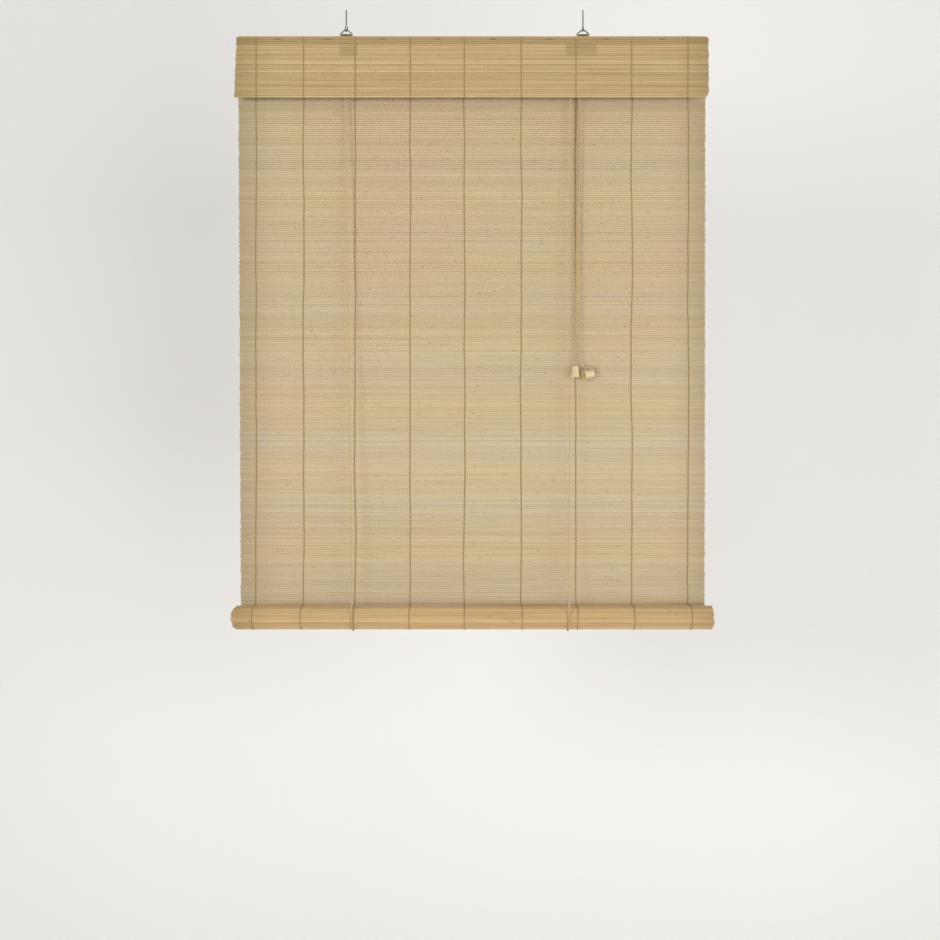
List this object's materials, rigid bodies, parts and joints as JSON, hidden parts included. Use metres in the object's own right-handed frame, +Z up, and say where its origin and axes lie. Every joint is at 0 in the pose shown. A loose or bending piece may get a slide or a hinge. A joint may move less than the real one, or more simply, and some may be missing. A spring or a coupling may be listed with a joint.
{
  "type": "bamboo roll up blind",
  "caption": "Window blind of thin horizontal bamboo slats, rolled up at its foot by cords over a pulley and a cord lock, with a valance, hung from ceiling hooks.",
  "frame": {"origin": "on the ceiling, midway between the shanks of the two screw hooks", "axes": "+Z up, +X to the right and -Y towards a person who faces the blind"},
  "size_m": [0.81, 0.0532, 1.0483],
  "materials": {
    "bamboo": "split bamboo, bare, satin",
    "thread": "twisted cotton, olive brown",
    "rail_wood": "planed softwood, bare",
    "hook_steel": "zinc-plated wire, dulled",
    "strap_brass": "brassed, dulled",
    "pressed_steel": "zinc-plated pressing",
    "cast_cam": "cast, satin",
    "nylon": "natural nylon",
    "cord": "braided cream cotton",
    "tassel": "cream, satin"
  },
  "bodies": {
    "root": {"left_screw_hook": "hook_steel", "right_screw_hook": "hook_steel"},
    "left_ring": {"left_hanger_ring": "hook_steel"},
    "right_ring": {"right_hanger_ring": "hook_steel"},
    "rail": {"head_rail": "rail_wood", "left_hanger_strap": "strap_brass", "right_hanger_strap": "strap_brass", "strap_screws": "strap_brass", "curtain_slats": "bamboo", "curtain_threads": "thread", "curtain_staples": "hook_steel", "valance_slats": "bamboo", "valance_threads": "thread", "valance_staples": "hook_steel", "left_cord_eye": "hook_steel", "right_cord_eye": "hook_steel", "left_anchor_knot": "cord", "right_anchor_knot": "cord", "pulley_frame": "pressed_steel", "pulley_axle": "pressed_steel", "pulley_screws": "pressed_steel", "left_cord_crossing": "cord", "right_cord_turn": "cord", "lock_frame": "pressed_steel", "lock_axle": "pressed_steel", "lock_spacers": "pressed_steel", "lock_cam_pin": "pressed_steel", "lock_screws": "pressed_steel", "left_back_cord": "cord", "right_back_cord": "cord", "left_front_cord": "cord", "right_front_cord": "cord", "left_pull_cord": "cord", "right_pull_cord": "cord"},
    "pulley": {"pulley_wheel": "nylon"},
    "front_wheel": {"front_lock_wheel": "nylon"},
    "back_wheel": {"back_lock_wheel": "nylon"},
    "cam": {"lock_cam": "cast_cam"},
    "lift": {"left_cord_bight": "cord", "right_cord_bight": "cord"},
    "roll": {"rolled_weave": "bamboo", "bottom_lath": "rail_wood"},
    "left_pull": {"left_tassel": "tassel", "left_tassel_knot": "cord"},
    "right_pull": {"right_tassel": "tassel", "right_tassel_knot": "cord"}
  },
  "joints": [
    {"name": "left_ring_swing", "type": "hinge", "parent": "root", "child": "left_ring", "pos_m": [-0.2, 0, -0.0183], "axis": [1, 0, 0], "range_deg": [-20, 20]},
    {"name": "right_ring_swing", "type": "hinge", "parent": "root", "child": "right_ring", "pos_m": [0.2, 0, -0.0183], "axis": [1, 0, 0], "range_deg": [-20, 20]},
    {"name": "rail_tilt", "type": "hinge", "parent": "left_ring", "child": "rail", "pos_m": [-0.2, 0, -0.0279], "axis": [1, 0, 0], "range_deg": [-15, 15]},
    {"name": "roll_rise", "type": "slide", "parent": "rail", "child": "lift", "axis": [0, 0, 1], "range_m": [0, 0.72], "deforming": ["curtain_slats", "curtain_threads", "left_back_cord", "right_back_cord", "left_front_cord", "right_front_cord"]},
    {"name": "roll_spin", "type": "hinge", "parent": "lift", "child": "roll", "pos_m": [0.0125, -0.01009, -1.0095], "axis": [-1, 0, 0], "range_deg": [0, 1530]},
    {"name": "pulley_turn", "type": "hinge", "parent": "rail", "child": "pulley", "pos_m": [-0.195, 0.0015, -0.0575], "axis": [0, 1, 0], "range_deg": [0, 11011]},
    {"name": "front_wheel_turn", "type": "hinge", "parent": "rail", "child": "front_wheel", "pos_m": [0.187, -0.0035, -0.0575], "axis": [0, 1, 0], "range_deg": [0, 11011]},
    {"name": "back_wheel_turn", "type": "hinge", "parent": "rail", "child": "back_wheel", "pos_m": [0.187, 0.0015, -0.0575], "axis": [0, 1, 0], "range_deg": [0, 11011]},
    {"name": "cam_release", "type": "hinge", "parent": "rail", "child": "cam", "pos_m": [0.208, -0.001, -0.052], "axis": [0, -1, 0], "range_deg": [0, 20]},
    {"name": "left_pull_down", "type": "slide", "parent": "rail", "child": "left_pull", "axis": [0, -0.2079, -0.9781], "range_m": [0, 1.445], "deforming": ["left_pull_cord"]},
    {"name": "right_pull_down", "type": "slide", "parent": "rail", "child": "right_pull", "axis": [0, -0.2079, -0.9781], "range_m": [0, 1.445], "deforming": ["right_pull_cord"]}
  ],
  "couplings": [
    {"joint": "right_ring_swing", "follows": "left_ring_swing", "ratio": 1},
    {"joint": "roll_spin", "follows": "roll_rise", "rad_per_m": 37},
    {"joint": "pulley_turn", "follows": "roll_rise", "rad_per_m": 266.67},
    {"joint": "front_wheel_turn", "follows": "roll_rise", "rad_per_m": 266.67},
    {"joint": "back_wheel_turn", "follows": "roll_rise", "rad_per_m": 266.67},
    {"joint": "left_pull_down", "follows": "roll_rise", "ratio": 2},
    {"joint": "right_pull_down", "follows": "roll_rise", "ratio": 2}
  ]
}
